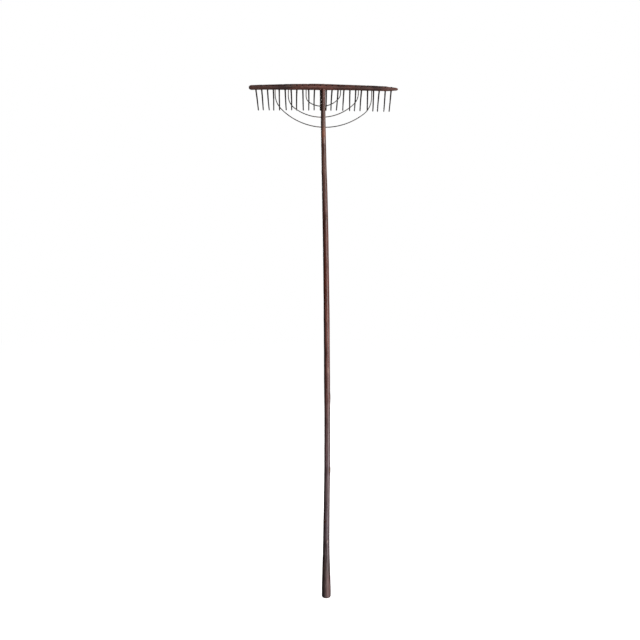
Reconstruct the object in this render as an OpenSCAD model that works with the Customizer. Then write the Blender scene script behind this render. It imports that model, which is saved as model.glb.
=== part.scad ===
// Wooden leaf rake: a naturally bowed stick wedged into an arched head bar, with driven pegs
// as teeth and three wire bows that brace the head against the handle.
// It stands upright: +Z runs up the handle and +X along the head, and the teeth point
// towards +Y and down. The origin is the centre of the butt's end face.

/* [Handle] */
// Height of the head bar's centre above the butt's end face
head_height = 2039; // [1900:1:2200]
// Diameter of the swollen butt
butt_d = 36; // [33:0.5:40]
// Height of the straight stretch at the butt, from the end face to the stick
butt_length = 150; // [120:1:200]
// Diameter of the stick along the grip
grip_d = 24; // [22:0.5:26]
// Largest sideways bow of the stick
natural_bow = 8; // [0:0.5:15]
// Diameter of the tenon that passes through the head bar
tenon_d = 13; // [11:0.5:14]

/* [Head bar] */
// Length of the bar
bar_length = 596; // [590:1:640]
// Size of the bar's section along the teeth
bar_thick = 18; // [16:0.5:19]
// Size of the bar's section across the teeth
bar_wide = 21.5; // [20:0.5:23]
// Fall of the bar's right end from square to the handle, in degrees
bar_tilt = 1; // [0:0.1:2]
// Fall of the bar's arched ends below its middle, across the teeth
bar_arch = 4; // [0:0.5:6]
// Rise of the front face's crown over half the bar
front_crown = 3; // [1:0.5:4]
// Rise of the top face's crown over half the bar
top_crown = 5; // [1:0.5:6]

/* [Teeth] */
// Number of teeth
tooth_count = 24; // [16:2:24]
// Distance between neighbouring teeth
tooth_pitch = 23.6; // [22:0.1:24.5]
// Length of a tooth beyond the bar's centre line
tooth_reach = 121; // [90:1:130]
// Diameter of a tooth where it is driven through the bar
tooth_d = 6.4; // [5.4:0.1:7]
// Angle of the teeth below square to the handle
tooth_drop = 30; // [25:1:35]

/* [Bows] */
// Diameter of the wire
wire_d = 3.8; // [3:0.1:4.2]
// Half the span of the inner bow
inner_span = 69; // [67:0.5:71]
// Depth of the inner bow below the bar's centre line
inner_depth = 77; // [72:1:85]
// Half the span of the middle bow
middle_span = 140; // [138:0.5:144]
// Depth of the middle bow below the bar's centre line
middle_depth = 121; // [115:1:130]
// Half the span of the outer bow
outer_span = 193; // [187:0.5:193]
// Depth of the outer bow below the bar's centre line
outer_depth = 161; // [155:1:175]

/* [Hidden] */
// Radius of the butt's rounded edge, and the height at which its straight band ends
butt_edge = 5;
butt_band = 34;
// Step from the turned butt down to the stick
butt_lip = 0.2;
// The stick's sideways bow along its length, as a share of natural_bow
bow_line = [
    [0, 0], [0.05, 0.15], [0.12, 0.5], [0.21, 0.85], [0.33, 1], [0.45, 1], [0.57, 0.9],
    [0.68, 0.7], [0.77, 0.4], [0.86, 0], [0.94, -0.25], [1, -0.05]
];
// The stick's diameter along its length, as a share of grip_d
girth_line = [
    [0, 1.2], [0.045, 1.1], [0.09, 1.02], [0.2, 1], [0.6, 0.97], [0.76, 0.94], [0.85, 0.84],
    [0.94, 0.8], [1, 0.69]
];
// Depth of the shoulder below the bar's centre line, and the stick's sides and rings
shoulder_drop = 9;
stick_sides = 24;
stick_rings = 36;

// Blunt left tip and longer, slimmer right tip of the bar, and how far a tip pulls in
left_tip = 12;
right_tip = 34;
tip_inset = 4;
// Width that each long edge's bevel takes off a face
bevel = 3;

// Flats along each crowned edge of the bar, and corners of its bevelled section
crown_steps = 12;
section_corners = 8;

// Small sideways lean of each hand-driven tooth, in degrees
tooth_leans = [
    1, -0.5, 0, -2.5, -2, 0, -0.5, -2, 0, -0.5, -1, 0,
    0, -1.5, -2, -0.5, 2, 0, 0, 3, 3, 1, 2, 1.5
];
// A tooth keeps its full thickness this far beyond the bar, and tapers to its tip and its nose
tooth_shoulder = 2;
tip_d = 4.8;
nose_length = 3;

// A bow's bottom and corner radii as shares of its half span, and its sideways sway
bottom_share = 1.3;
corner_share = 0.43;
inner_sway = -6;
middle_sway = -7;
outer_sway = 7;
// Sides of the wire, and rings along a bow's bottom and each corner
wire_sides = 12;
bottom_steps = 36;
corner_steps = 12;
// A bow's legs end this far below the bar's centre line, in blind holes
leg_stop = 3;
// Extra radius of the holes that a curved wire threads through in the handle
wire_slack = 0.6;

// Wedge in the tenon's saw cut: thickness at its thin and thick ends, and its thin end's height
wedge_thin = 1;
wedge_thick = 3.2;
wedge_foot = 1;
// Nail from the back of the bar into the tenon, and its distance below the bar's centre
nail_d = 2.6;
nail_head_d = 6;
nail_head_h = 1;
nail_low = 4;
nail_tip = -3;

section_far = 60;
$fn = 64;

function tooth_name(i) = str("tooth_", i < 10 ? "0" : "", i);
tooth_names = [for (i = [1 : tooth_count]) tooth_name(i)];

// Faces of a tube of rings, numbered ring by ring from 0 to last, with a cap at each end
function ring_faces(last, sides) = concat(
    [[for (j = [0 : sides - 1]) j]],
    [[for (j = [sides - 1 : -1 : 0]) last * sides + j]],
    [for (k = [0 : last - 1], j = [0 : sides - 1]) let (
        low = k * sides + j,
        next = k * sides + (j + 1) % sides
    ) each [[low, low + sides, next], [next, low + sides, next + sides]]]
);

function tooth_x(i) = (i - (tooth_count + 1) / 2) * tooth_pitch;

// The head's frame: its origin is the bar's centre, with the bar's tilt
module in_head() {
    translate([0, 0, head_height]) rotate([0, bar_tilt, 0]) children();
}

// The bar's section frame: +Y runs along the teeth
module in_section() {
    in_head() rotate([-tooth_drop, 0, 0]) children();
}

// ---- head bar ----

// Places along the bar at which its section is given, from the left tip to the right tip, and
// how far the section pulls in there
bar_places = concat(
    [-bar_length / 2],
    [for (k = [0 : crown_steps])
        -bar_length / 2 + left_tip + k * (bar_length - left_tip - right_tip) / crown_steps],
    [bar_length / 2]
);

function inset(x) = abs(x) == bar_length / 2 ? tip_inset : 0;
function crowned(reach, rise, x) = reach - rise * pow(2 * x / bar_length, 2) - inset(x);

// Height of the arched bar's centre line at x, in the section frame
function arch_z(x) = -bar_arch * pow(2 * x / bar_length, 2);

// The eight corners of the section at x: bevelled back, top, front and bottom
function bar_section(x) = let (
    back = crowned(bar_thick / 2, 0, x),
    top = arch_z(x) + crowned(bar_wide / 2, top_crown, x),
    front = crowned(bar_thick / 2, front_crown, x),
    bottom = arch_z(x) - crowned(bar_wide / 2, 0, x)
) [
    [x, back, bottom + bevel], [x, back, top - bevel],
    [x, back - bevel, top], [x, bevel - front, top],
    [x, -front, top - bevel], [x, -front, bottom + bevel],
    [x, bevel - front, bottom], [x, back - bevel, bottom]
];

// The bar before drilling
module bar_blank() {
    points = [for (x = bar_places) each bar_section(x)];
    in_section() polyhedron(points, ring_faces(len(bar_places) - 1, section_corners), convexity = 4);
}

module head_bar() {
    color("saddlebrown") difference() {
        bar_blank();
        for (i = [1 : tooth_count]) at_tooth(i) rotate([-90, 0, 0])
            cylinder(d = tooth_d, h = section_far, center = true);
        translate([0, 0, head_height]) cylinder(d = tenon_d, h = section_far, center = true);
        leg_holes(inner_span);
        leg_holes(middle_span);
        leg_holes(outer_span);
        nail_solid();
    }
}

module leg_holes(span) {
    in_head() for (side = [-1, 1]) translate([side * span, 0, -leg_stop - section_far])
        cylinder(d = wire_d, h = section_far);
}

// ---- teeth ----

// The frame of one tooth: +Y along the tooth, through the bar's arched centre line
module at_tooth(i) {
    lean = tooth_leans[(i - 1) % len(tooth_leans)];
    in_section() translate([tooth_x(i), 0, arch_z(tooth_x(i))]) rotate([0, 0, -lean]) children();
}

// A driven peg: straight in the bar, tapered outside it, with a blunt nose, sawn flush in front
module tooth(i) {
    color("sienna") intersection() {
        at_tooth(i) rotate([-90, 0, 0]) rotate_extrude() polygon([
            [0, -bar_thick], [tooth_d / 2, -bar_thick], [tooth_d / 2, bar_thick / 2 + tooth_shoulder],
            [tip_d / 2, tooth_reach - nose_length], [tip_d / 4, tooth_reach], [0, tooth_reach]
        ]);
        in_section() linear_extrude(2 * section_far, center = true) polygon(concat(
            [for (x = bar_places) [x, -crowned(bar_thick / 2, front_crown, x)]],
            [[bar_length / 2, tooth_reach + tooth_d], [-bar_length / 2, tooth_reach + tooth_d]]
        ));
    }
}

// ---- bows ----

// Stations along a bow, each [x, z, heading]: a leg, a tight corner, the wide bottom arc, and
// the other corner and leg. A heading is the way the wire's outer side faces, counted in
// degrees from straight down towards +X.
function arc_stations(centre, radius, from, to, steps) = [for (k = [0 : steps]) let (
    a = from + (to - from) * k / steps
) [centre[0] + radius * sin(a), centre[1] - radius * cos(a), a]];

function bow_stations(span, depth, sway) = let (
    bottom_r = bottom_share * span,
    corner_r = corner_share * span,
    centre_z = bottom_r - depth,
    throw = bottom_r - corner_r,
    fall_l = sqrt(pow(throw, 2) - pow(span + sway - corner_r, 2)),
    fall_r = sqrt(pow(throw, 2) - pow(span - sway - corner_r, 2)),
    turn_l = acos(fall_l / throw),
    turn_r = acos(fall_r / throw),
    corner_l = [corner_r - span, centre_z - fall_l],
    corner_r_at = [span - corner_r, centre_z - fall_r],
    bottom = arc_stations([sway, centre_z], bottom_r, -turn_l, turn_r, bottom_steps)
) concat(
    [[-span, -leg_stop, -90]],
    arc_stations(corner_l, corner_r, -90, -turn_l, corner_steps),
    [for (k = [1 : bottom_steps - 1]) bottom[k]],
    arc_stations(corner_r_at, corner_r, turn_r, 90, corner_steps),
    [[span, -leg_stop, 90]]
);

// Round wire swept along a bow's stations, with a flat cap at each end
module bow(span, depth, sway) {
    stations = bow_stations(span, depth, sway);
    last = len(stations) - 1;
    points = [for (s = stations, j = [0 : wire_sides - 1]) let (
        a = 360 * j / wire_sides,
        out = wire_d / 2 * cos(a)
    ) [s[0] + out * sin(s[2]), wire_d / 2 * sin(a), s[1] - out * cos(s[2])]];
    color("silver") in_head()
        polyhedron(points, ring_faces(last, wire_sides), convexity = 10);
}

module bow_inner() {
    bow(inner_span, inner_depth, inner_sway);
}

module bow_middle() {
    bow(middle_span, middle_depth, middle_sway);
}

module bow_outer() {
    bow(outer_span, outer_depth, outer_sway);
}

// ---- handle ----

stick_top = head_height - shoulder_drop;

// Centre line and radius of the stick at a share t of its length above the butt
function stick_z(t) = butt_length + t * (stick_top - butt_length);
function stick_x(t) = natural_bow * lookup(t, bow_line);
function stick_r(t) = grip_d / 2 * lookup(t, girth_line);

// The bowed stick: rings of points joined by triangles, with a flat cap at each end
module stick() {
    points = [for (k = [0 : stick_rings], j = [0 : stick_sides - 1]) let (
        t = k / stick_rings,
        a = 360 * j / stick_sides
    ) [stick_x(t) + stick_r(t) * cos(a), stick_r(t) * sin(a), stick_z(t)]];
    polyhedron(points, ring_faces(stick_rings, stick_sides), convexity = 4);
}

// The swollen butt: a rounded edge, a straight band for a rack's cup, and a flare
module butt() {
    rotate_extrude($fn = 96) {
        translate([butt_d / 2 - butt_edge, butt_edge]) circle(r = butt_edge, $fn = 48);
        square([butt_d / 2 - butt_edge, 2 * butt_edge]);
        polygon([
            [0, butt_edge], [butt_d / 2, butt_edge], [butt_d / 2, butt_band],
            [stick_r(0) + butt_lip, butt_length], [0, butt_length]
        ]);
    }
}

// The hole that a wire threads through: it runs along the wire's slope at the handle's
// centre, and is raised by half of the wire's own curve across the stick
module wire_hole(span, depth, sway) {
    bottom_r = bottom_share * span;
    slope = asin(-sway / bottom_r);
    lift = bottom_r * (1 - cos(slope)) + pow(grip_d / 2, 2) / (4 * bottom_r);
    in_head() translate([0, 0, lift - depth]) rotate([0, 90 - slope, 0])
        cylinder(d = wire_d + 2 * wire_slack, h = section_far, center = true);
}

module tenon() {
    intersection() {
        translate([0, 0, head_height]) cylinder(d = tenon_d, h = section_far, center = true);
        bar_blank();
    }
}

module handle() {
    color("sienna") difference() {
        union() {
            butt();
            difference() {
                stick();
                bar_blank();
            }
            tenon();
        }
        wire_hole(inner_span, inner_depth, inner_sway);
        wire_hole(middle_span, middle_depth, middle_sway);
        wire_hole(outer_span, outer_depth, outer_sway);
        wedge_solid();
        nail_solid();
    }
}

// ---- fixings ----

module wedge_solid() {
    translate([0, 0, head_height]) rotate([90, 0, 0])
        linear_extrude(section_far, center = true) polygon([
            [-wedge_thin / 2, wedge_foot], [wedge_thin / 2, wedge_foot],
            [wedge_thick / 2, bar_wide], [-wedge_thick / 2, bar_wide]
        ]);
}

module tenon_wedge() {
    color("burlywood") intersection() {
        wedge_solid();
        tenon();
    }
}

module nail_solid() {
    in_section() translate([0, 0, -nail_low]) rotate([-90, 0, 0]) {
        translate([0, 0, nail_tip]) cylinder(d = nail_d, h = bar_thick / 2 - nail_tip);
        translate([0, 0, bar_thick / 2]) cylinder(d = nail_head_d, h = nail_head_h);
    }
}

module head_nail() {
    color("dimgray") nail_solid();
}

handle();
head_bar();
for (i = [1 : tooth_count]) {
    tooth(i);
}
bow_inner();
bow_middle();
bow_outer();
tenon_wedge();
head_nail();
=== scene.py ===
import itertools
import math

import bpy
import numpy as np
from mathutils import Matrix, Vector
from mathutils.bvhtree import BVHTree


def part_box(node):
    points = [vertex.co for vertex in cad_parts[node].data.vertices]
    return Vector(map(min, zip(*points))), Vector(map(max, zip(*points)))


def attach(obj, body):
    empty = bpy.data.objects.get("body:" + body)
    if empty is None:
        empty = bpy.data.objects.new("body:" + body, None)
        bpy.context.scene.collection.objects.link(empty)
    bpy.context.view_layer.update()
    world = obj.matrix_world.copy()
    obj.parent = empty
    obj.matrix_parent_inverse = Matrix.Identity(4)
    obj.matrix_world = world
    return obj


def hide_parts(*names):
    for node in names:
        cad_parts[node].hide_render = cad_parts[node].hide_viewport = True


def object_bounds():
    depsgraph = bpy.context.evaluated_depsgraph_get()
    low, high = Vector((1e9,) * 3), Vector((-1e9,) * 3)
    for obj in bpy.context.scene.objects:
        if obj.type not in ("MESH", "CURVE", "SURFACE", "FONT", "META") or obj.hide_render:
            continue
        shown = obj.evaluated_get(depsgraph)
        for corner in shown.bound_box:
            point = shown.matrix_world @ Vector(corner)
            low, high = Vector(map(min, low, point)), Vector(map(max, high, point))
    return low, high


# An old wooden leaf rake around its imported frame. Every piece is swept along the line that its
# CAD node gives, and then worn, dented and whittled in the mesh. Sizes are in metres.

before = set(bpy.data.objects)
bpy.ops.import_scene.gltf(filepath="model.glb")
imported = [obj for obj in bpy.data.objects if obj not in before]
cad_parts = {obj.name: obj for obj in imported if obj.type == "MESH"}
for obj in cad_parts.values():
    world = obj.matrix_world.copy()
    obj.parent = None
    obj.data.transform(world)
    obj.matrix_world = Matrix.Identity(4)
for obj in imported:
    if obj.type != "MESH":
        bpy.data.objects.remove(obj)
cad_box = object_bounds()
MM = 0.001
BOTTOM_Z = cad_box[0].z
TOP_Z = cad_box[1].z
HEIGHT = TOP_Z - BOTTOM_Z

# ---------------------------------------------------------------- camera

EYE_DISTANCE = 2.5
EYE_HEIGHT = 0.5395 * HEIGHT
EYE_SIDE = -0.0190
EYE_ROLL = math.radians(0.325)
LENS = 35.16
SENSOR = 36.0


def make_camera():
    """A level camera in front of the rake, at about half its height."""
    data = bpy.data.cameras.new("camera")
    data.lens = LENS
    data.sensor_width = SENSOR
    data.clip_end = 60
    camera = bpy.data.objects.new("camera", data)
    camera.location = (EYE_SIDE, -EYE_DISTANCE, EYE_HEIGHT)
    camera.rotation_euler = (math.radians(90), EYE_ROLL, 0)
    bpy.context.scene.collection.objects.link(camera)
    bpy.context.scene.camera = camera


make_camera()

# ---------------------------------------------------------------- reading the frame


def cad_mesh(node):
    """Vertices and edges of a CAD node, as arrays."""
    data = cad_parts[node].data
    points = np.empty(len(data.vertices) * 3)
    data.vertices.foreach_get("co", points)
    edges = np.empty(len(data.edges) * 2, int)
    data.edges.foreach_get("vertices", edges)
    return points.reshape(-1, 3), edges.reshape(-1, 2)


def plane_cut(points, edges, heights):
    """Points where edges cross a plane, given each vertex's height above that plane."""
    a, b = heights[edges[:, 0]], heights[edges[:, 1]]
    hit = (a > 0) != (b > 0)
    share = (a[hit] / (a[hit] - b[hit]))[:, None]
    start, end = points[edges[hit, 0]], points[edges[hit, 1]]
    return start + share * (end - start)


def unit(v):
    return v / np.linalg.norm(v)


# ---------------------------------------------------------------- shaping helpers


def lattice(cell, seed):
    """A repeatable number from 0 to 1 for each whole-number cell."""
    n = cell @ np.array([127.1, 311.7, 74.7]) + 19.19 * seed
    return np.modf(np.abs(np.sin(n) * 43758.5453))[0]


def noise(points, size, seed=0):
    """Smooth noise from -1 to 1. size is the lumps' size: one number, or one for each axis."""
    p = np.asarray(points) / np.asarray(size)
    cell = np.floor(p)
    f = p - cell
    f = f * f * (3 - 2 * f)
    total = 0
    for corner in itertools.product((0, 1), repeat=3):
        c = np.array(corner)
        weight = np.prod(np.where(c, f, 1 - f), axis=-1)
        total = total + weight * lattice(cell + c, seed)
    return 2 * total - 1


def noise_along(s, size, seed):
    """Smooth noise along one number, such as a length."""
    flat = np.stack([np.asarray(s), np.full_like(s, 0.37), np.full_like(s, 0.71)], axis=-1)
    return noise(flat, (size, 1, 1), seed)


def lumps(points, layers):
    """Several layers of noise added up. Each layer is its rise, its lumps' size and its seed."""
    return sum(rise * noise(points, size, seed) for rise, size, seed in layers)


def smooth(values, passes):
    """Values averaged with their neighbours, with the ends held."""
    for _ in range(passes):
        values = values.copy()
        values[1:-1] = 0.25 * values[:-2] + 0.5 * values[1:-1] + 0.25 * values[2:]
    return values


def spot(distance, radius):
    """1 at the middle of a spot, falling smoothly to 0 at its radius and beyond."""
    t = np.clip(1 - distance / radius, 0, 1)
    return t * t * (3 - 2 * t)


def swept_mesh(name, rings, start, end, values=None):
    """A closed mesh through rings of points, with a fan to a point at each end.
    values holds one number a ring point under each name, kept as mesh attributes."""
    count, sides = rings.shape[:2]
    points = np.concatenate([rings.reshape(-1, 3), [start], [end]])
    faces = []
    for k in range(count - 1):
        for j in range(sides):
            low, n = k * sides + j, k * sides + (j + 1) % sides
            faces.append((low, n, n + sides, low + sides))
    first, last = count * sides, count * sides + 1
    top = (count - 1) * sides
    for j in range(sides):
        n = (j + 1) % sides
        faces.append((first, n, j))
        faces.append((last, top + j, top + n))
    mesh = bpy.data.meshes.new(name)
    mesh.from_pydata(points.tolist(), [], faces)
    mesh.polygons.foreach_set("use_smooth", [True] * len(faces))
    for key, value in (values or {}).items():
        flat = value.reshape(-1)
        both_ends = [value[0].mean(), value[-1].mean()]
        attribute = mesh.attributes.new(key, "FLOAT", "POINT")
        attribute.data.foreach_set("value", np.concatenate([flat, both_ends]).astype(np.float32))
    mesh.update()
    piece = bpy.data.objects.new(name, mesh)
    bpy.context.scene.collection.objects.link(piece)
    return piece


def place(piece, material, slot, *nodes):
    """Gives a piece its material and its body, and hides the CAD nodes that it stands for; slot is
    not used.
    """
    piece.data.materials.append(material)
    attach(piece, "root")
    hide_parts(*nodes)
    return piece


# ---------------------------------------------------------------- the frame's driving lines

TOOTH_NODES = sorted(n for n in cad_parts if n.startswith("tooth_"))
TOOTH_READ_AT = (0.0, 0.085)  # the two values of Y where each CAD tooth is cut to find its axis


def tooth_axis(node):
    """Where a tooth's axis crosses the plane Y = 0, in the bar, and the axis's direction."""
    points, edges = cad_mesh(node)
    middle = []
    for level in TOOTH_READ_AT:
        ring = plane_cut(points, edges, points[:, 1] - level)
        middle.append((ring.min(0) + ring.max(0)) / 2)
    return middle[0], unit(middle[1] - middle[0])


TOOTH_AXES = {node: tooth_axis(node) for node in TOOTH_NODES}
TOOTH_WAY = unit(np.mean([axis[1] for axis in TOOTH_AXES.values()], axis=0))
MIDDLE_TEETH = TOOTH_NODES[len(TOOTH_NODES) // 2 - 1:len(TOOTH_NODES) // 2 + 1]
HEAD_CENTRE = np.mean([TOOTH_AXES[node][0] for node in MIDDLE_TEETH], axis=0)


def head_axes():
    """The bar's own axes: along it, along the teeth, and across both."""
    points, _ = cad_mesh("head_bar")
    left = points[points[:, 0] < points[:, 0].min() + 2 * MM].mean(0)
    right = points[points[:, 0] > points[:, 0].max() - 2 * MM].mean(0)
    along = unit(right - left)
    back = unit(TOOTH_WAY - along * (TOOTH_WAY @ along))
    return np.array([along, back, np.cross(along, back)])


HEAD = head_axes()


def tooth_line(node):
    """A tooth's centre on the bar's middle plane, its direction, and its two ends along it."""
    centre, along = TOOTH_AXES[node]
    centre = centre - along * ((centre - HEAD_CENTRE) @ HEAD[1]) / (along @ HEAD[1])
    reach = (cad_mesh(node)[0] - centre) @ along
    return centre, along, reach.min(), reach.max()


TEETH = {node: tooth_line(node) for node in TOOTH_NODES}


def to_head(points):
    return (points - HEAD_CENTRE) @ HEAD.T


def from_head(points):
    return points @ HEAD + HEAD_CENTRE


BAR_BACK = to_head(cad_mesh("head_bar")[0])[:, 1].max()


def bar_surface():
    """The visible bar's surface, for what is sawn flush with it."""
    bar = bpy.data.objects["bar_wood"]
    return BVHTree.FromObject(bar, bpy.context.evaluated_depsgraph_get())


def top_of(surface, x, y):
    """Height of a surface at a place, seen from above, or the object's top where it misses."""
    hit = surface.ray_cast(Vector((x, y, TOP_Z + 50 * MM)), Vector((0, 0, -1)))
    return hit[0].z if hit[0] else TOP_Z


# ---------------------------------------------------------------- handle

STICK_SIDES = 72
STICK_STEP = 2.5 * MM
BUTT_EDGE = 5 * MM
# The stick's neck, just under the bar, and the tenon inside it
NECK_Z = HEAD_CENTRE[2] - 13 * MM
TENON_Z = HEAD_CENTRE[2] - 5 * MM
TENON_R = 6.4 * MM
# The highest place where the CAD stick is read, the height of the straight butt, and how many
# times the line above the butt is smoothed
READ_TOP_Z = NECK_Z - 12 * MM
BUTT_TOP = 0.05
LINE_PASSES = 120
# Knots and swellings: height, angle from +X towards the back in degrees, rise, half length
KNOTS = [
    (1.518, -50, 1.0 * MM, 11 * MM),
    (0.798, -20, 1.5 * MM, 13 * MM),
    (0.508, -30, 2.0 * MM, 15 * MM),
    (1.112, 120, 1.1 * MM, 12 * MM),
    (1.700, 200, 0.8 * MM, 9 * MM),
    (0.305, 235, 1.1 * MM, 13 * MM),
    (1.330, 60, 0.8 * MM, 9 * MM),
]
# Nicks from years of use: height, angle, depth, half length
NICKS = [
    (1.432, -35, 0.7 * MM, 9 * MM),
    (1.105, -80, 0.4 * MM, 5 * MM),
    (0.905, -60, 0.5 * MM, 12 * MM),
    (0.640, -110, 0.5 * MM, 8 * MM),
    (1.820, -70, 0.4 * MM, 10 * MM),
    (0.225, -65, 0.6 * MM, 9 * MM),
    (0.120, -120, 0.6 * MM, 7 * MM),
    (1.265, 150, 0.5 * MM, 10 * MM),
    (1.516, -52, 0.3 * MM, 5 * MM),
    (0.505, -42, 0.4 * MM, 6 * MM),
]
# The stick's surface: how far it is out of round and how far that turns, its whittled flats and
# how far they drift round it, and its lumps, each with its rise, size and seed
OVAL = 0.014
OVAL_TURN = 2
FLATS = 9
FLAT_DRIFT = 1.5
FLAT_LUMPS = [(0.16 * MM, (0.05, 0.05, 0.16), 13)]
STICK_LUMPS = [
    (0.42 * MM, (0.03, 0.03, 0.11), 11),
    (0.20 * MM, (0.014, 0.014, 0.035), 12),
    (0.07 * MM, (1.6 * MM, 1.6 * MM, 0.045), 14),
]
# The dent and the stain round each wire hole
DENT_R = 5.5 * MM
DENT = 0.5 * MM
# The rings that close the butt's face and the tenon's end, as shares of their radius, and how
# rough and how proud they are
BUTT_RINGS = (0.12, 0.3, 0.5, 0.7, 0.86, 0.96)
BUTT_ROUGH = 0.12 * MM
TENON_RINGS = (1.0, 0.94, 0.8, 0.6, 0.4, 0.2)
TENON_ROUGH = 0.04 * MM
TENON_RIM_PROUD = 0.1 * MM
TENON_PROUD = 0.35 * MM
WIRE_NODES = ["bow_inner", "bow_middle", "bow_outer"]
WIRE_R = (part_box(WIRE_NODES[0])[1].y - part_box(WIRE_NODES[0])[0].y) / 2
WIRE_HEIGHTS = [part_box(n)[0].z + WIRE_R for n in WIRE_NODES]


def handle_levels():
    """Heights of the handle's rings from the butt's edge to the bar's middle."""
    edge = BUTT_EDGE * (1 - np.cos(np.radians(np.arange(12, 91, 13))))
    stick = np.arange(BUTT_EDGE + STICK_STEP, NECK_Z, STICK_STEP)
    neck = np.linspace(NECK_Z, HEAD_CENTRE[2], 12)
    return np.concatenate([edge, stick, neck])


def handle_line(levels):
    """Centre and radius of the CAD handle at each level, smoothed over its facets."""
    points, edges = cad_mesh("handle")
    centre, radius = np.zeros((len(levels), 3)), np.zeros(len(levels))
    for k, z in enumerate(levels):
        ring = plane_cut(points, edges, points[:, 2] - min(z, READ_TOP_Z))
        low, high = ring.min(0), ring.max(0)
        centre[k] = ((low + high) / 2)[0], ((low + high) / 2)[1], z
        radius[k] = (high - low)[1] / 2
    stick = levels > BUTT_TOP
    for line in (centre[:, 0], centre[:, 1], radius):
        line[stick] = smooth(line[stick], LINE_PASSES)
    neck = np.clip((levels - NECK_Z) / (TENON_Z - NECK_Z), 0, 1)
    radius += (TENON_R - radius) * neck * neck * (3 - 2 * neck)
    return centre, radius


def handle_relief(points, centre, radius, angle):
    """Rise and fall of the stick's surface, and where it is knotted, nicked or stained."""
    z = points[..., 2]
    turn = OVAL_TURN * noise_along(centre[:, 2], 0.45, 3)[:, None]
    rise = OVAL * radius[:, None] * np.cos(2 * angle + turn) + lumps(points, STICK_LUMPS)
    drift = FLAT_DRIFT * noise_along(centre[:, 2], 0.2, 5)[:, None]
    rise = rise + np.cos(FLATS * angle + drift) * lumps(points, FLAT_LUMPS)
    knot, nick, stain = np.zeros_like(z), np.zeros_like(z), np.zeros_like(z)

    def around(height, degrees):
        gap = (angle - math.radians(degrees) + math.pi) % (2 * math.pi) - math.pi
        return np.abs(z - height), np.abs(gap) * radius[:, None]

    for height, degrees, lift, half in KNOTS:
        up, side = around(height, degrees)
        swell = spot(np.hypot(up, 1.7 * side), 2.2 * half)
        eye = spot(np.hypot(up, side), 0.45 * half)
        rise = rise + lift * swell - 0.5 * lift * eye
        knot = np.maximum(knot, spot(np.hypot(up, 1.3 * side), half))
    for height, degrees, depth, half in NICKS:
        up, side = around(height, degrees)
        ragged = 0.35 * half * noise(points, (1.5 * MM, 1.5 * MM, 5 * MM), 15)
        dip = np.clip(1.6 * spot(np.hypot(0.7 * up, 2.6 * side) + ragged, half), 0, 1)
        rise = rise - depth * dip
        nick = np.maximum(nick, dip)
    for height in WIRE_HEIGHTS:
        for degrees in (0, 180):
            up, side = around(height, degrees)
            hole = spot(np.hypot(up, side), DENT_R)
            rise = rise - DENT * hole
            stain = np.maximum(stain, hole)
    edge = np.clip(z / (4 * BUTT_EDGE), 0, 1)
    return rise * edge * (2 - edge), {"knot": knot, "nick": nick, "stain": stain}


def with_ends(values, count, before):
    """The ring values with count more rings of sawn end grain, before or after the others."""
    longer = {}
    for key, value in values.items():
        sawn = np.full((count, STICK_SIDES), float(key == "end"))
        longer[key] = np.concatenate([sawn, value] if before else [value, sawn])
    return longer


def make_handle(material):
    """The stick: rings up the CAD handle's line, worn and dented, with both ends sawn off."""
    levels = handle_levels()
    centre, radius = handle_line(levels)
    angle = np.linspace(0, 2 * np.pi, STICK_SIDES, endpoint=False)[None, :]
    around = np.stack([np.cos(angle), np.sin(angle), 0 * angle], axis=-1)
    rings = centre[:, None, :] + radius[:, None, None] * around
    rise, values = handle_relief(rings, centre, radius, angle)
    values["end"] = np.zeros_like(rise)
    rings = rings + rise[..., None] * around

    # The butt's end face: rings that close in on its centre, with a little sawn roughness
    face = []
    for share in BUTT_RINGS:
        ring = centre[0] + share * (rings[0] - centre[0])
        ring[:, 2] = BOTTOM_Z + BUTT_ROUGH * (1 + noise(ring, 2.5 * MM, 21)) * (1 - share)
        face.append(ring)
    rings = np.concatenate([np.array(face), rings])
    values = with_ends(values, len(face), before=True)

    # The tenon's end, sawn off flush with the top of the bar
    surface = bar_surface()
    tenon = []
    for share in TENON_RINGS:
        ring = centre[-1] + share * TENON_R * around[0]
        proud = TENON_PROUD if share < 0.9 else TENON_RIM_PROUD
        for point in ring:
            point[2] = top_of(surface, point[0], point[1]) + proud
        ring[:, 2] += TENON_ROUGH * noise(ring, 1.5 * MM, 22)
        tenon.append(ring)
    rings = np.concatenate([rings, np.array(tenon)])
    values = with_ends(values, len(tenon), before=False)
    piece = swept_mesh("handle_wood", rings, rings[0].mean(0), rings[-1].mean(0), values)
    return place(piece, material, "handle_wood", "handle")


# ---------------------------------------------------------------- head bar

BAR_STEP = 1.3 * MM
BAR_TIP_STEPS = (0.2, 0.7, 1.5, 2.6, 4.0, 6.0, 8.5)  # in mm from each end
# How far from the middle the mortise cuts the CAD bar's faces, and how far in from each end its
# section is whole enough to read
MORTISE_REACH = 12 * MM
LEFT_WHOLE = 13 * MM
RIGHT_WHOLE = 36 * MM
# The blunt left end, and the long point at the right with its own small nose: how far in from
# the end each begins, what it takes off or leaves, the point's curve, and how far it falls
LEFT_TIP = 12 * MM
LEFT_TAPER = 0.82
RIGHT_TIP = 48 * MM
RIGHT_POINT = 0.40
RIGHT_CURVE = 0.65
RIGHT_NOSE = 5 * MM
NOSE_TAPER = 0.85
RIGHT_TIP_DROP = 1.5 * MM
# The full middle, and how much slimmer the rest is shaved
BELLY_AT = -0.030
BELLY_REACH = 0.085
SHAVED = 0.035
SHAVED_RIGHT = 0.045
SHAVED_RIGHT_FROM = 0.06
# The rounded arrises, and the points along each of them and along each face
ARRIS_R = 4.2 * MM
ARRIS_VARIES = 0.15
CORNER_STEPS = 8
FACE_STEPS = 16
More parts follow.
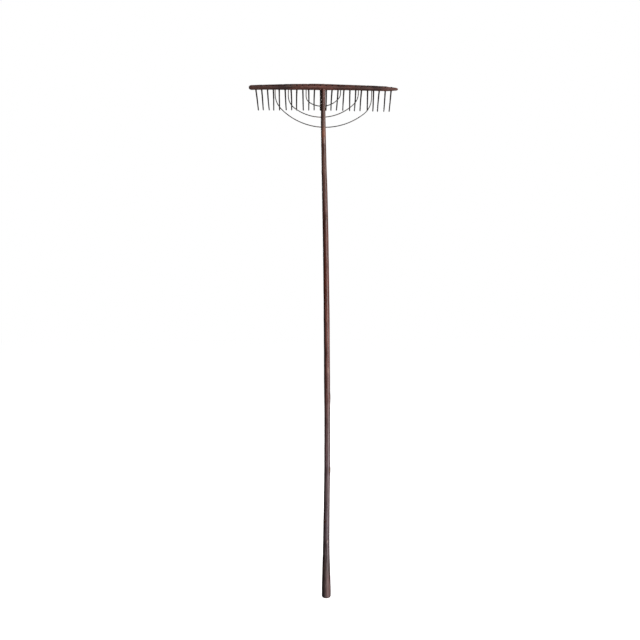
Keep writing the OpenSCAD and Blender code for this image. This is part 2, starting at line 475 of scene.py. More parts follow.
# The bar's surface: its lumps, the dings along its arrises with the level of noise where they
# start, the lips of its holes, and how its cracks wander, in radians, and fade at their ends
BAR_LUMPS = [
    (0.45 * MM, (0.06, 0.012, 0.012), 31),
    (0.22 * MM, (0.017, 0.007, 0.007), 32),
    (0.08 * MM, (0.03, 1.5 * MM, 1.5 * MM), 33),
]
DING = 2.2 * MM
DING_SIZE = (9 * MM, 5 * MM, 5 * MM)
DING_FROM = 0.35
HOLE_R = 3.2 * MM
LIP_R = 1.5 * MM
LIP = 0.35 * MM
CRACK_WANDER = 0.10
CRACK_FADE = 0.02


def bar_extent(places):
    """The CAD bar's section at each place: its middle and its half sizes, as Y and Z."""
    points, edges = cad_mesh("head_bar")
    local = to_head(points)
    reach = []
    for x in places:
        ring = plane_cut(local, edges, local[:, 0] - x)[:, 1:]
        reach.append(np.concatenate([ring.min(0), ring.max(0)]))
    reach = np.array(reach)
    clear = np.abs(places) > MORTISE_REACH
    ends = [smooth(np.interp(places, places[clear], r[clear]), 12) for r in reach.T]
    low, high = np.stack(ends[:2], axis=1), np.stack(ends[2:], axis=1)
    return (low + high) / 2, (high - low) / 2


def rounded_section(half, corner):
    """Points round a rounded rectangle at each place, and how near each is to an arris, from 0
    on a flat to 1. The order is counter-clockwise seen from the bar's right."""
    turn = np.linspace(0, math.pi / 2, CORNER_STEPS)
    corners = []
    for k, side in enumerate(((1, 1), (-1, 1), (-1, -1), (1, -1))):
        a = turn + k * math.pi / 2
        middle = np.array(side) * (half - corner[:, None])
        way = np.stack([np.cos(a), np.sin(a)], axis=-1)
        corners.append(middle[:, None, :] + corner[:, None, None] * way)
    outline, arris = [], []
    share = np.linspace(0, 1, FACE_STEPS + 1)[1:-1]
    for k in range(4):
        here, there = corners[k], corners[(k + 1) % 4]
        outline.append(here)
        arris.append(np.sin(2 * turn))
        step = share[None, :, None]
        outline.append(here[:, -1:] * (1 - step) + there[:, :1] * step)
        arris.append(0 * share)
    return np.concatenate(outline, axis=1), np.concatenate(arris)


# Longitudinal drying cracks: start and end along the bar, angle round the section in degrees,
# depth and half width
CRACKS = [
    (-0.298, -0.205, 205, 0.9 * MM, 0.8 * MM),
    (0.150, 0.262, 190, 0.7 * MM, 0.7 * MM),
    (-0.090, 0.030, 40, 0.8 * MM, 0.8 * MM),
    (0.060, 0.190, 300, 0.6 * MM, 0.7 * MM),
    (-0.225, -0.120, 330, 0.6 * MM, 0.7 * MM),
]


def bar_relief(local, outline, arris, up):
    """Rise and fall of the bar's surface, and where it is worn and greyed, split, or opened by a
    hole. The grey mixes wear with painted light on the faces that look up, and each hole's lip is
    marked for painted shade.
    """
    x = local[..., 0]
    dings = np.clip(noise(local, DING_SIZE, 34) - DING_FROM, 0, 1)
    rise = lumps(local, BAR_LUMPS) - DING * dings * arris
    # Grey on worn arrises and streaks, plus painted light from above: the more a face looks up, the
    # greyer it is painted
    wear_and_top_light = 0.1 + 0.35 * arris * (up > 0) + 0.7 * up + 0.45 * noise(local, (0.045, 0.01, 0.01), 35)
    wear_and_top_light = np.clip(wear_and_top_light, 0, 1)
    crack = np.zeros_like(x)
    angle = np.arctan2(outline[..., 1], outline[..., 0])
    reach = np.hypot(outline[..., 0], outline[..., 1])
    for start, end, degrees, depth, half in CRACKS:
        wander = CRACK_WANDER * noise_along(x.ravel(), 0.035, degrees).reshape(x.shape)
        wander = math.radians(degrees) + wander
        gap = np.abs((angle - wander + math.pi) % (2 * math.pi) - math.pi) * reach
        within = np.clip(np.minimum(x - start, end - x) / CRACK_FADE, 0, 1)
        line = spot(gap, 2 * half) * within
        rise = rise - depth * line
        crack = np.maximum(crack, line)
    # The sunken lip round each peg hole, which the material darkens as a joint line with painted
    # shade
    gap = np.zeros_like(x)
    for centre, along, _, _ in TEETH.values():
        middle = to_head(centre)
        way = HEAD @ along
        aside = local - middle
        off = np.linalg.norm(aside - (aside @ way)[..., None] * way, axis=-1)
        on_face = np.abs(local[..., 1]) > 4 * MM
        lip = spot(np.abs(off - HOLE_R), LIP_R) * on_face
        rise = rise - LIP * lip
        gap = np.maximum(gap, lip)
    return rise, {"wear_and_top_light": wear_and_top_light, "crack": crack, "gap": gap}


def make_bar(material):
    """The head bar: rounded sections along the CAD bar, shaved, tapered and worn."""
    half = np.abs(to_head(cad_mesh("head_bar")[0])[:, 0]).max()
    tip = np.array(BAR_TIP_STEPS) * MM
    places = np.concatenate([
        -half + tip, np.arange(-half + 10 * MM, half - 10 * MM, BAR_STEP), (half - tip)[::-1]
    ])
    middle, size = bar_extent(np.clip(places, -half + LEFT_WHOLE, half - RIGHT_WHOLE))

    # The middle keeps its full depth for the mortise. The rest is shaved slimmer, from the top,
    # and the right more than the left.
    belly = spot(np.abs(places - BELLY_AT), BELLY_REACH)
    rightward = np.clip(places / SHAVED_RIGHT_FROM, 0, 1)
    shaved = 1 - (SHAVED + SHAVED_RIGHT * rightward) * (1 - belly)
    left = np.clip((places + half) / LEFT_TIP, 0, 1)
    right = np.clip((half - places) / RIGHT_TIP, 0, 1)
    nose = np.clip((half - places) / RIGHT_NOSE, 0, 1)
    pull = np.sqrt(1 - LEFT_TAPER * (1 - left) ** 2) * np.sqrt(1 - NOSE_TAPER * (1 - nose) ** 2)
    pull = pull * (RIGHT_POINT + (1 - RIGHT_POINT) * right ** RIGHT_CURVE)
    corner = ARRIS_R * np.clip(pull, 0.3, 1) * (1 + ARRIS_VARIES * noise_along(places, 0.05, 36))
    outline, arris = rounded_section(size * (shaved * pull)[:, None], corner)
    middle[:, 1] -= RIGHT_TIP_DROP * (1 - right) ** 2 + size[:, 1] * (1 - shaved)

    along = np.repeat(places[:, None, None], outline.shape[1], 1)
    local = np.concatenate([along, outline + middle[:, None, :]], axis=-1)
    outward = np.roll(outline, -1, 1) - np.roll(outline, 1, 1)
    outward = np.stack([outward[..., 1], -outward[..., 0]], axis=-1)
    outward /= np.linalg.norm(outward, axis=-1, keepdims=True)
    up = (outward @ HEAD[1:])[..., 2]
    rise, values = bar_relief(local, outline, arris[None, :], up)
    rise = rise * pull[:, None]
    local[..., 1:] += rise[..., None] * outward
    rings = from_head(local)
    ends = from_head(np.array([[-half, *middle[0]], [half, *middle[-1]]]))
    piece = swept_mesh("bar_wood", rings, ends[0], ends[1], values)
    return place(piece, material, "head_wood", "head_bar")


# ---------------------------------------------------------------- teeth

TOOTH_SIDES = 24
TOOTH_STEP = 1.8 * MM
TOOTH_R = 3.15 * MM
TIP_R = 2.4 * MM
SHOULDER_R = 3.8 * MM
SHOULDER_AT = 2 * MM
SHOULDER_REACH = 7 * MM
# How far the pegs stand proud of the bar's front, and how much shorter some are worn
PROUD = 0.25 * MM
WORN_SHORT = 1.5 * MM
# The worn tip: where it starts to round off, and its rings, in mm from the end
ROUNDING = 4.5 * MM
TIP_STEPS = (4.2, 3.2, 2.3, 1.5, 0.85, 0.35, 0.08)
# Largest bends to the side and across, waver, and whittled facets
BEND_SIDE = 0.9 * MM
BEND_OVER = 0.7 * MM
WAVER = 0.35 * MM
FACETS = 6
FACET = 0.10 * MM
TOOTH_LUMPS = [(0.16 * MM, 9 * MM, 43), (0.05 * MM, 2 * MM, 44)]


def make_tooth(node, index, material, surface):
    """One peg: flush with the bar's front, whittled outside it, gently bent, with a worn tip."""
    centre, along, front, tip = TEETH[node]
    hit = surface.ray_cast(Vector(centre - 60 * MM * along), Vector(along))
    front = (np.array(hit[0]) - centre) @ along - PROUD if hit[0] else front
    tip = tip - (0.5 + 0.5 * math.sin(7.7 * index)) * WORN_SHORT
    inside = np.array([0, 0.25, 1, 4]) * MM
    outside = np.arange(BAR_BACK - 1 * MM, tip - 5 * MM, TOOTH_STEP)
    nose = tip - np.array(TIP_STEPS) * MM
    s = np.concatenate([front + inside, [0], outside, nose])
    out = np.clip((s - BAR_BACK) / (tip - BAR_BACK), 0, 1)
    radius = TOOTH_R + (TIP_R - TOOTH_R) * out
    shoulder = spot(np.abs(s - BAR_BACK - SHOULDER_AT), SHOULDER_REACH)
    radius += (SHOULDER_R - TOOTH_R) * shoulder
    to_tip = np.clip((tip - s) / ROUNDING, 0, 1)
    radius *= np.sqrt(np.clip(1 - (1 - to_tip) ** 2, 0.02, 1))
    radius[0] *= 0.88  # a small chamfer round the sawn front end

    side = unit(np.cross(along, [0, 0, 1]))
    over = np.cross(side, along)
    sway = out * (1 - out) * 4
    bend_side = BEND_SIDE * math.sin(2.3 * index + 0.4) * sway
    bend_side = bend_side + WAVER * noise_along(s + index, 0.03, 41) * out
    bend_over = BEND_OVER * math.cos(3.1 * index) * sway
    middle = centre + s[:, None] * along
    middle = middle + bend_side[:, None] * side + bend_over[:, None] * over

    angle = np.linspace(0, 2 * np.pi, TOOTH_SIDES, endpoint=False)
    ways = np.cos(angle)[:, None] * side + np.sin(angle)[:, None] * over
    rings = middle[:, None, :] + radius[:, None, None] * ways
    free = (out > 0) * np.clip(to_tip, 0.2, 1)
    drift = index + 2 * noise_along(s + index, 0.05, 42)[:, None]
    rise = FACET * np.cos(FACETS * angle[None, :] + drift) + lumps(rings, TOOTH_LUMPS)
    rings = rings + (rise * free[:, None])[..., None] * ways
    worn = np.repeat(np.clip((out - 0.55) / 0.45, 0, 1)[:, None], TOOTH_SIDES, 1)
    # Painted shade on the peg where it leaves the bar's back
    root = np.repeat(spot(np.abs(s - BAR_BACK), 12 * MM)[:, None], TOOTH_SIDES, 1)
    start = middle[0] - 0.05 * MM * along
    end = middle[-1] + 0.08 * MM * along
    name = "tooth_wood_" + node.split("_")[1]
    piece = swept_mesh(name, rings, start, end, {"worn": worn, "root": root})
    return place(piece, material, "tooth_wood", node)


# ---------------------------------------------------------------- bows

WIRE_SIDES = 16
WIRE_STEP = 2.5 * MM
WIRE_TURNS = np.radians(np.arange(-88.5, 88.6, 1.5))  # turns of the planes that cut a CAD bow
# How far a wire wanders out of true, how near its ends that stops, and how its radius varies
WANDER_ASIDE = 0.8 * MM
WANDER_DEEP = 0.9 * MM
WANDER_EASE = 0.03
WIRE_VARIES = 0.02


def wire_line(node):
    """Centre line of a CAD bow, from its left leg's top to its right leg's top. Planes that
    turn about a point between the legs' tops cut the wire once each."""
    points, edges = cad_mesh(node)
    low, high = points.min(0), points.max(0)
    pivot = np.array([(low[0] + high[0]) / 2, (low[1] + high[1]) / 2, high[2] + 1 * MM])
    line = []
    for a in WIRE_TURNS:
        ray = np.array([math.sin(a), 0, -math.cos(a)])
        normal = np.array([math.cos(a), 0, math.sin(a)])
        ring = plane_cut(points, edges, (points - pivot) @ normal)
        reach = (ring - pivot) @ ray
        reach = reach[reach > 0]
        if len(reach) > 5:
            line.append(pivot + ray * (reach.min() + reach.max()) / 2)
    return np.array(line)


def evenly(line, step):
    """The line's points spread evenly along it."""
    length = np.concatenate([[0], np.cumsum(np.linalg.norm(np.diff(line, axis=0), axis=1))])
    at = np.linspace(0, length[-1], int(length[-1] / step) + 1)
    return np.stack([np.interp(at, length, line[:, k]) for k in range(3)], axis=1), at


def make_bow(node, seed, material):
    """One bow: a round wire along the CAD bow's line, a little out of true."""
    line, at = evenly(wire_line(node), WIRE_STEP)
    line = np.stack([smooth(line[:, k], 6) for k in range(3)], axis=1)
    along = np.gradient(line, axis=0)
    along /= np.linalg.norm(along, axis=1, keepdims=True)
    depth = np.array([0, 1.0, 0])
    aside = np.cross(along, depth)
    aside /= np.linalg.norm(aside, axis=1, keepdims=True)
    ease = np.clip(np.minimum(at, at[-1] - at) / WANDER_EASE, 0, 1)
    line = line + (WANDER_ASIDE * noise_along(at, 0.07, seed) * ease)[:, None] * aside
    line = line + (WANDER_DEEP * noise_along(at, 0.09, seed + 1) * ease)[:, None] * depth
    angle = np.linspace(0, 2 * np.pi, WIRE_SIDES, endpoint=False)
    ways = (
        np.cos(angle)[None, :, None] * aside[:, None, :] + np.sin(angle)[None, :, None] * depth
    )
    radius = WIRE_R * (1 + WIRE_VARIES * noise_along(at, 0.02, seed + 2))
    rings = line[:, None, :] + radius[:, None, None] * ways
    name = "bow_wire_" + node.split("_")[1]
    piece = swept_mesh(name, rings[:, ::-1], line[0], line[-1])
    return place(piece, material, "bow_wire", node)


# ---------------------------------------------------------------- wedge and nail

WEDGE_SIDES = 40
NAIL_SIDES = 32


def rounded(wave, power):
    """A sine or cosine squared off towards a box's outline."""
    return np.sign(wave) * np.abs(wave) ** power


def make_wedge(material, surface):
    """The wedge in the tenon: a thin slab with its sawn end flush with the tenon's end."""
    low, high = (np.array(c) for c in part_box("tenon_wedge"))
    half_x = (high[0] - low[0]) / 2
    half_y = (high[1] - low[1]) / 2 - 0.3 * MM
    middle = (low + high) / 2
    t = np.linspace(0, 2 * np.pi, WEDGE_SIDES, endpoint=False)
    y = middle[1] + half_y * rounded(np.sin(t), 0.6)

    def outline(share):
        return middle[0] + half_x * share * rounded(np.cos(t), 0.35)

    rings = []
    for level, share in ((low[2] + 0.5 * MM, 0.35), (high[2] - 6 * MM, 0.8)):
        rings.append(np.stack([outline(share), y, np.full(WEDGE_SIDES, level)], axis=1))
    for proud, share in ((0.4 * MM, 1.0), (0.48 * MM, 0.8)):
        x = outline(share)
        z = np.array([top_of(surface, *point) for point in zip(x, y)]) + proud
        rings.append(np.stack([x, y, z], axis=1))
    rings = np.array(rings)
    piece = swept_mesh("wedge_wood", rings, rings[0].mean(0), rings[-1].mean(0))
    return place(piece, material, "wedge_wood", "tenon_wedge")


def make_nail(material):
    """A cut nail's domed, hammered head on the back of the bar, with its shank."""
    points, _ = cad_mesh("head_nail")
    local = to_head(points)
    centre = (local.min(0) + local.max(0)) / 2
    head_r = (local[:, 0].max() - local[:, 0].min()) / 2
    top = local[:, 1].max()
    profile = [
        (local[:, 1].min(), 0.25), (local[:, 1].min() + 3 * MM, 0.42), (top - 1.2 * MM, 0.42),
        (top - 1.0 * MM, 0.85), (top - 0.8 * MM, 0.97), (top - 0.5 * MM, 1.0),
        (top - 0.2 * MM, 0.9), (top - 0.05 * MM, 0.6), (top, 0.3),
    ]
    angle = np.linspace(0, 2 * np.pi, NAIL_SIDES, endpoint=False)
    rings = []
    for y, share in profile:
        r = head_r * share * (1 + 0.05 * np.cos(5 * angle + 1) * (share > 0.5))
        x, z = centre[0] + r * np.sin(angle), centre[2] + r * np.cos(angle)
        rings.append(np.stack([x, np.full(NAIL_SIDES, y), z], axis=1))
    rings = from_head(np.array(rings))
    rings += 0.08 * MM * noise(rings, 1.5 * MM, 51)[..., None] * HEAD[1]
    piece = swept_mesh("nail_iron", rings, rings[0].mean(0), rings[-1].mean(0))
    return place(piece, material, "nail_iron", "head_nail")


# ---------------------------------------------------------------- materials


class Nodes:
    """Short calls that add shader nodes to one material and join them up."""

    def __init__(self, name):
        self.material = bpy.data.materials.new(name)
        self.material.use_nodes = True
        self.tree = self.material.node_tree
        self.shader = self.tree.nodes["Principled BSDF"]

    def new(self, kind, inputs=None, **settings):
        node = self.tree.nodes.new(kind)
        for key, value in settings.items():
            setattr(node, key, value)
        for key, value in (inputs or {}).items():
            self.feed(node.inputs[key], value)
        return node

    def feed(self, socket, value):
        if isinstance(value, bpy.types.NodeSocket):
            self.tree.links.new(value, socket)
        else:
            socket.default_value = value

    def place(self):
        return self.new("ShaderNodeTexCoord").outputs["Object"]

    def stretched(self, vector, scale):
        inputs = {"Vector": vector, "Scale": scale}
        return self.new("ShaderNodeMapping", inputs).outputs[0]

    def turned(self, vector, turn):
        inputs = {"Vector": vector, "Rotation": turn}
        return self.new("ShaderNodeMapping", inputs).outputs[0]

    def noise(self, vector, scale=1.0, detail=4.0, rough=0.6, distortion=0.0):
        inputs = {
            "Vector": vector, "Scale": scale, "Detail": detail, "Roughness": rough,
            "Distortion": distortion,
        }
        return self.new("ShaderNodeTexNoise", inputs).outputs[0]

    def math(self, operation, a, b=0.0):
        node = self.new("ShaderNodeMath", operation=operation)
        self.feed(node.inputs[0], a)
        self.feed(node.inputs[1], b)
        return node.outputs[0]

    def band(self, value, low, high, to_low=0.0, to_high=1.0):
        """value's range from low to high, spread over another range and held at its ends."""
        inputs = {0: value, 1: low, 2: high, 3: to_low, 4: to_high}
        node = self.new("ShaderNodeMapRange", inputs, clamp=True, interpolation_type="SMOOTHSTEP")
        return node.outputs[0]

    def mix(self, share, a, b, blend="MIX"):
        node = self.new("ShaderNodeMix", data_type="RGBA", blend_type=blend)
        self.feed(node.inputs[0], share)
        self.feed(node.inputs[6], a)
        self.feed(node.inputs[7], b)
        return node.outputs[2]

    def over(self, colour, top, value, low, high, share):
        """top laid over colour: none of it where value is low, and share of it where it is high."""
        return self.mix(self.band(value, low, high, 0.0, share), colour, top)

    def share_over(self, colour, top, value, share):
        """top laid over colour by share times value."""
        return self.mix(self.math("MULTIPLY", value, share), colour, top)

    def ramp(self, value, stops):
        """A ramp over value, with each stop's colour given as 0 to 255 in sRGB."""
        node = self.new("ShaderNodeValToRGB", {0: value})
        ramp = node.color_ramp
        while len(ramp.elements) < len(stops):
            ramp.elements.new(0.5)
        for element, (at, colour) in zip(ramp.elements, stops):
            element.position = at
            element.color = srgb(*colour)
        return node.outputs[0]

    def attribute(self, name):
        return self.new("ShaderNodeAttribute", attribute_name=name).outputs["Fac"]

    def bump(self, height, distance, strength=1.0):
        inputs = {"Height": height, "Distance": distance, "Strength": strength}
        return self.new("ShaderNodeBump", inputs).outputs[0]

    def finish(self, colour, roughness, normal, specular=0.5):
        self.shader.inputs["Specular IOR Level"].default_value = specular
        self.feed(self.shader.inputs["Base Color"], colour)
        self.feed(self.shader.inputs["Roughness"], roughness)
        self.feed(self.shader.inputs["Normal"], normal)
        return self.material


def srgb(r, g, b):
    """A colour given as 0 to 255 in sRGB, as the linear colour that nodes take."""
    shares = (r / 255, g / 255, b / 255)
    linear = [c / 12.92 if c <= 0.04045 else ((c + 0.055) / 1.055) ** 2.4 for c in shares]
    return (*linear, 1.0)


def wood_grain(n, vector):
    """Fibres, rings, blotches and open pores of wood whose grain runs along the vector's Z."""

    def streaks(across, along, detail, rough=0.6, distortion=0.0):
        return n.noise(n.stretched(vector, (across, across, along)), 1.0, detail, rough, distortion)

    rings = n.new(
        "ShaderNodeTexWave",
        {
            "Vector": n.stretched(vector, (1, 1, 0.018)), "Scale": 95.0, "Distortion": 9.0,
            "Detail": 3.0, "Detail Scale": 1.4, "Detail Roughness": 0.6,
        },
        wave_type="RINGS", rings_direction="Z",
    ).outputs[1]
    # Drying checks: thin lines where a long, slow noise crosses its middle, in some places only
    crossing = n.math("ABSOLUTE", n.math("SUBTRACT", streaks(260, 3.2, 3.0, 0.5, 0.2), 0.5))
    checks = n.band(crossing, 0.0, 0.012, 1.0, 0.0)
    sparse = n.band(streaks(60, 4, 1.0), 0.52, 0.62)
    return {
        "fibre": streaks(620, 11, 6.0, 0.62, 0.3),
        "fine": streaks(2300, 45, 3.0),
        "blotch": streaks(42, 6, 4.0),
        "rings": rings,
        "pores": n.band(streaks(1500, 60, 2.0, 0.5), 0.60, 0.72),
        "checks": n.math("MULTIPLY", checks, sparse),
    }


def grained(n, grain, body, grain_dark, rings, pale=None):
    """body darkened by a darker grain tone between its fibres and in its rings, and pale along its
    fibres.
    """
    dark = n.mix(1.0, body, grain_dark, "MULTIPLY")
    fibres = n.mix(n.band(grain["fibre"], 0.34, 0.66), dark, pale or body)
    return n.share_over(fibres, dark, grain["rings"], rings)


def drifting(n, share, grain, by):
    """A share of a length, moved about by the wood's blotches so that its tones have no edges."""
    return n.math("ADD", share, n.math("MULTIPLY", n.math("SUBTRACT", grain["blotch"], 0.5), by))


def wood_relief(n, grain, distance, extra=None, keep=None):
    """The grain's bump, less an extra depth where one is given, and kept only in keep's share."""
    height = n.math("MULTIPLY", grain["fibre"], 0.55)
    height = n.math("ADD", height, n.math("MULTIPLY", grain["fine"], 0.12))
    height = n.math("SUBTRACT", height, n.math("MULTIPLY", grain["pores"], 0.15))
    height = n.math("SUBTRACT", height, n.math("MULTIPLY", grain["checks"], 0.9))
    if extra is not None:
        height = n.math("SUBTRACT", height, extra)
    if keep is not None:
        height = n.math("MULTIPLY", height, keep)
    return n.bump(height, distance, 0.8)


HANDLE_GLOSS = 0.34
BAR_GLOSS = 0.45
TOOTH_GLOSS = 0.3
CHECK_DARK = srgb(22, 14, 12)
# The stick's tone from its butt to its tenon, by share of the rake's height
HANDLE_TONES = [
    (0.00, (99, 87, 91)),
    (0.03, (98, 85, 87)),
    (0.06, (80, 68, 71)),
    (0.11, (90, 78, 88)),
    (0.16, (97, 82, 92)),
    (0.21, (90, 73, 80)),
    (0.27, (106, 86, 94)),
    (0.36, (114, 82, 82)),
    (0.45, (100, 58, 54)),
    (0.52, (103, 57, 51)),
    (0.61, (98, 34, 18)),
    (0.68, (96, 46, 36)),
    (0.76, (88, 52, 46)),
    (0.845, (102, 72, 62)),
    (0.882, (86, 52, 42)),
    (0.897, (144, 90, 66)),
    (0.914, (100, 74, 66)),
    (1.00, (92, 68, 62)),
]
# The bar's tone from its left end to its right, by share of its length
BAR_TONES = [
    (0.00, (116, 80, 70)),
    (0.12, (113, 77, 67)),
    (0.20, (82, 56, 53)),
    (0.25, (82, 56, 53)),
    (0.30, (130, 84, 72)),
    (0.40, (118, 77, 69)),
    (0.50, (136, 86, 76)),
    (0.57, (126, 80, 71)),
    (0.62, (98, 64, 56)),
    (0.67, (124, 80, 70)),
    (0.77, (106, 73, 67)),
    (0.84, (98, 68, 63)),
    (0.89, (144, 102, 91)),
    (1.00, (132, 94, 86)),
]


def handle_material():
    """Old dark varnished wood, with knots, nicks, stains and a sawn end."""
    n = Nodes("handle_wood")
    where = n.place()
    grain = wood_grain(n, where)
    level = n.new("ShaderNodeSeparateXYZ", {0: where}).outputs[2]
    level = n.math("DIVIDE", n.math("SUBTRACT", level, BOTTOM_Z), HEIGHT)
    body = n.ramp(drifting(n, level, grain, 0.05), HANDLE_TONES)
    pale = n.mix(0.15, n.mix(1.0, body, (1.35, 1.32, 1.30, 1), "MULTIPLY"), srgb(162, 130, 118))
    colour = grained(n, grain, body, srgb(122, 104, 98), 0.35, pale)
    reddish = n.mix(0.55, colour, srgb(120, 60, 50))
    colour = n.over(colour, reddish, grain["blotch"], 0.52, 0.72, 0.7)
    colour = n.over(colour, srgb(44, 30, 27), grain["blotch"], 0.44, 0.26, 0.65)  # grime
    colour = n.share_over(colour, srgb(38, 25, 21), grain["pores"], 0.45)
    colour = n.mix(grain["checks"], colour, CHECK_DARK)
    knot = n.attribute("knot")
    knot_rings = n.math("SINE", n.math("MULTIPLY", knot, 26.0))
    knot_tone = n.mix(n.band(knot_rings, -1, 1), srgb(52, 30, 22), srgb(96, 62, 46))
    colour = n.over(colour, knot_tone, knot, 0.12, 0.6, 0.85)
    bruise = n.mix(n.band(grain["fine"], 0.4, 0.6), srgb(96, 70, 58), srgb(160, 126, 106))
    colour = n.over(colour, bruise, n.attribute("nick"), 0.3, 1.0, 0.6)
    colour = n.over(colour, srgb(40, 26, 24), n.attribute("stain"), 0.1, 0.8, 0.8)
    end = n.attribute("end")
    colour = n.share_over(colour, srgb(66, 48, 42), end, 0.45)
    rough = n.band(grain["fibre"], 0.3, 0.7, 0.30, 0.44)
    rough = n.math("ADD", rough, n.math("MULTIPLY", end, 0.4))
    relief = wood_relief(n, grain, 0.35 * MM, keep=n.band(end, 0.0, 1.0, 1.0, 0.12))
    return n.finish(colour, rough, relief, HANDLE_GLOSS)


BAR_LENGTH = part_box("head_bar")[1].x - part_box("head_bar")[0].x


def bar_material():
    """Bare weathered wood: grey along its worn top, partly weathering and partly painted light from
    above; dark in its cracks; and dark round each peg hole, a joint line with painted shade in its
    sunken lip.
    """
    n = Nodes("head_wood")
    along = n.turned(n.place(), (0, math.radians(90), 0))
    grain = wood_grain(n, along)
    place = n.new("ShaderNodeSeparateXYZ", {0: n.place()}).outputs[0]
    place = n.math("ADD", n.math("DIVIDE", place, BAR_LENGTH), 0.5)
    body = n.ramp(drifting(n, place, grain, 0.10), BAR_TONES)
    body = n.over(body, srgb(52, 36, 34), grain["blotch"], 0.5, 0.3, 0.7)
    colour = grained(n, grain, body, srgb(120, 100, 94), 0.3)
    # Grey over weathered wood and over the faces that look up, where it is painted light from above
    grey = n.mix(n.band(grain["fibre"], 0.4, 0.6), srgb(108, 92, 85), srgb(146, 127, 117))
    colour = n.over(colour, grey, n.attribute("wear_and_top_light"), 0.40, 1.0, 0.7)
    colour = n.share_over(colour, srgb(36, 24, 21), grain["pores"], 0.6)
    colour = n.mix(grain["checks"], colour, CHECK_DARK)
    crack = n.attribute("crack")
    colour = n.over(colour, srgb(18, 11, 9), crack, 0.25, 0.9, 0.9)
    # Painted shade: the lip round each peg hole darkened as a shadowed joint
    colour = n.over(colour, srgb(30, 19, 16), n.attribute("gap"), 0.2, 0.95, 0.8)
    rough = n.band(grain["fibre"], 0.3, 0.7, 0.5, 0.72)
    relief = wood_relief(n, grain, 0.5 * MM, n.math("MULTIPLY", crack, 0.5))
    return n.finish(colour, rough, relief, BAR_GLOSS)


def tooth_material():
    """Dark, dirty pegs, each a little different in tone, with painted shade where they leave the bar,
    and rubbed smooth at their tips.
    """
    n = Nodes("tooth_wood")
    tilt = math.atan2(-TOOTH_WAY[2], TOOTH_WAY[1])
    along = n.turned(n.place(), (math.radians(90) + tilt, 0, 0))
    grain = wood_grain(n, along)
    each = n.noise(n.stretched(n.place(), (42, 0.5, 0.5)), 1.0, 0.0)
    body = n.mix(n.band(each, 0.35, 0.65), srgb(36, 28, 26), srgb(54, 40, 36))
    colour = grained(n, grain, body, srgb(128, 116, 110), 0.3)
    worn = n.attribute("worn")
    colour = n.over(colour, srgb(33, 28, 26), worn, 0.0, 1.0, 0.5)
    # Painted shade darkening each peg next to the bar
    colour = n.over(colour, srgb(34, 22, 19), n.attribute("root"), 0.1, 0.9, 0.6)
    colour = n.share_over(colour, srgb(30, 21, 18), grain["pores"], 0.5)
    rough = n.band(worn, 0.0, 1.0, 0.62, 0.42)
    return n.finish(colour, rough, wood_relief(n, grain, 0.3 * MM), TOOTH_GLOSS)


def wedge_material():
    """Paler sawn end grain, dirty in patches."""
    n = Nodes("wedge_wood")
    where = n.place()
    ends = n.noise(n.stretched(where, (1600, 500, 500)), 1.0, 4.0)
    blotch = n.noise(where, 300.0, 3.0)
    colour = n.mix(n.band(ends, 0.35, 0.65), srgb(98, 74, 58), srgb(132, 104, 82))
    colour = n.over(colour, srgb(70, 52, 43), blotch, 0.5, 0.7, 0.5)
    return n.finish(colour, n.band(ends, 0.3, 0.7, 0.65, 0.85), n.bump(ends, 0.2 * MM))


def wire_material():
    """Dull drawn steel, with brown rust where it has sat wet."""
    n = Nodes("bow_wire")
    where = n.place()
    rust = n.noise(where, 160.0, 5.0, 0.65)
    patch = n.noise(where, 22.0, 2.0)
    rust = n.math("ADD", n.math("MULTIPLY", rust, 0.6), n.math("MULTIPLY", patch, 0.45))
    rusty = n.band(rust, 0.53, 0.66)
    drawn = n.noise(n.stretched(where, (180, 1900, 180)), 1.0, 3.0)
    steel = n.mix(n.band(drawn, 0.3, 0.7), srgb(64, 63, 62), srgb(102, 100, 97))
    brown = n.mix(n.band(n.noise(where, 900.0, 3.0), 0.35, 0.65), srgb(74, 48, 36), srgb(116, 82, 62))
    colour = n.mix(rusty, steel, brown)
    n.feed(n.shader.inputs["Metallic"], n.band(rusty, 0.0, 1.0, 1.0, 0.1))
    rough = n.band(rusty, 0.0, 1.0, 0.52, 0.8)
    height = n.math("ADD", n.math("MULTIPLY", rusty, 0.6), n.math("MULTIPLY", drawn, 0.3))
    return n.finish(colour, rough, n.bump(height, 0.15 * MM))


def nail_material():
    """Rusted iron."""
    n = Nodes("nail_iron")
    where = n.place()
    scale = n.noise(where, 1400.0, 5.0, 0.7)
    colour = n.mix(n.band(scale, 0.35, 0.65), srgb(38, 27, 23), srgb(104, 66, 46))
    n.feed(n.shader.inputs["Metallic"], n.band(scale, 0.35, 0.6, 0.5, 0.1))
    return n.finish(colour, n.band(scale, 0.3, 0.7, 0.6, 0.85), n.bump(scale, 0.25 * MM))


# ---------------------------------------------------------------- the object

make_bar(bar_material())
bar_top = bar_surface()
make_handle(handle_material())
shared_tooth = tooth_material()
for index, node in enumerate(TOOTH_NODES):
    make_tooth(node, index, shared_tooth, bar_top)
shared_wire = wire_material()
for index, node in enumerate(WIRE_NODES):
    make_bow(node, 60 + 5 * index, shared_wire)
make_wedge(wedge_material(), bar_top)
make_nail(nail_material())

# ---------------------------------------------------------------- floor and light

FLOOR_HALF = 30.0
FLOOR_GLOW = 1.0
WORLD_LIGHT = 0.058  # the white all round, as a light; to the eye it is full white
AIM = (0, 0, 1.1)


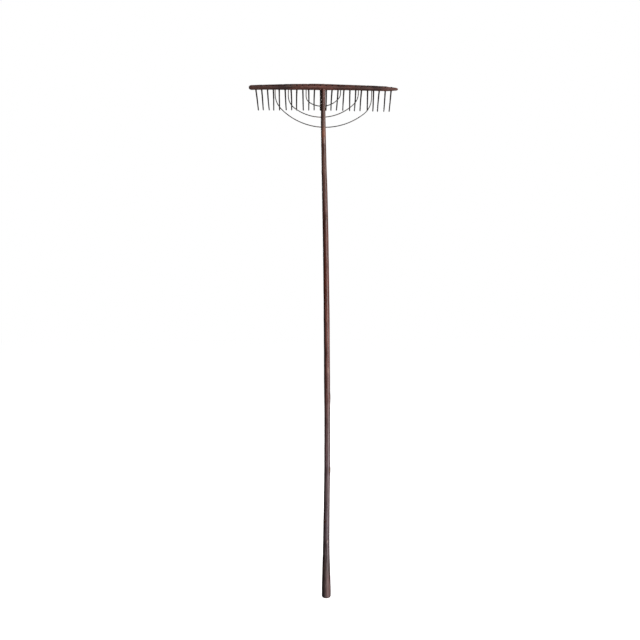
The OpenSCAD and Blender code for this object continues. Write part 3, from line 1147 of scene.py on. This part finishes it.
def make_floor():
    """A plain pale floor, large enough to run out of every view."""
    mesh = bpy.data.meshes.new("floor")
    half = FLOOR_HALF
    corners = [(-half, -half, 0), (half, -half, 0), (half, half, 0), (-half, half, 0)]
    mesh.from_pydata(corners, [], [(0, 1, 2, 3)])
    floor = bpy.data.objects.new("floor", mesh)
    floor.location.z = BOTTOM_Z - 0.5 * MM
    bpy.context.scene.collection.objects.link(floor)
    n = Nodes("floor_pale")
    pale = n.mix(n.noise(n.place(), 3.0), (0.93, 0.93, 0.93, 1), (0.96, 0.96, 0.96, 1))
    n.feed(n.shader.inputs["Base Color"], pale)
    n.feed(n.shader.inputs["Emission Color"], pale)
    n.feed(n.shader.inputs["Emission Strength"], FLOOR_GLOW)
    n.feed(n.shader.inputs["Roughness"], 0.9)
    mesh.materials.append(n.material)
    floor.visible_diffuse = False
    floor.visible_glossy = False
    floor.visible_shadow = False


def make_light(name, place, target, size, power):
    """A soft box of a given width and height, turned to face its target."""
    data = bpy.data.lights.new(name, "AREA")
    data.shape = "RECTANGLE"
    data.size, data.size_y = size
    data.energy = power
    light = bpy.data.objects.new(name, data)
    light.location = place
    light.rotation_euler = (Vector(target) - Vector(place)).to_track_quat("-Z", "Y").to_euler()
    bpy.context.scene.collection.objects.link(light)


def make_world():
    """White all round: full white to the eye, and softer as a light."""
    world = bpy.data.worlds.new("world")
    world.use_nodes = True
    tree = world.node_tree
    back = tree.nodes["Background"]
    back.inputs["Color"].default_value = (1, 1, 1, 1)
    path = tree.nodes.new("ShaderNodeLightPath")
    mix = tree.nodes.new("ShaderNodeMix")
    mix.data_type = "FLOAT"
    mix.inputs[2].default_value = WORLD_LIGHT
    mix.inputs[3].default_value = 1.0
    tree.links.new(path.outputs["Is Camera Ray"], mix.inputs[0])
    tree.links.new(mix.outputs[0], back.inputs["Strength"])
    bpy.context.scene.world = world


make_floor()
make_light("key", (3.3, -3.3, 1.1), AIM, (1.2, 5.6), 400)
make_light("back", (-0.6, 4.6, 3.0), AIM, (1.6, 3.0), 150)
make_world()
bpy.context.scene.view_settings.view_transform = "Standard"
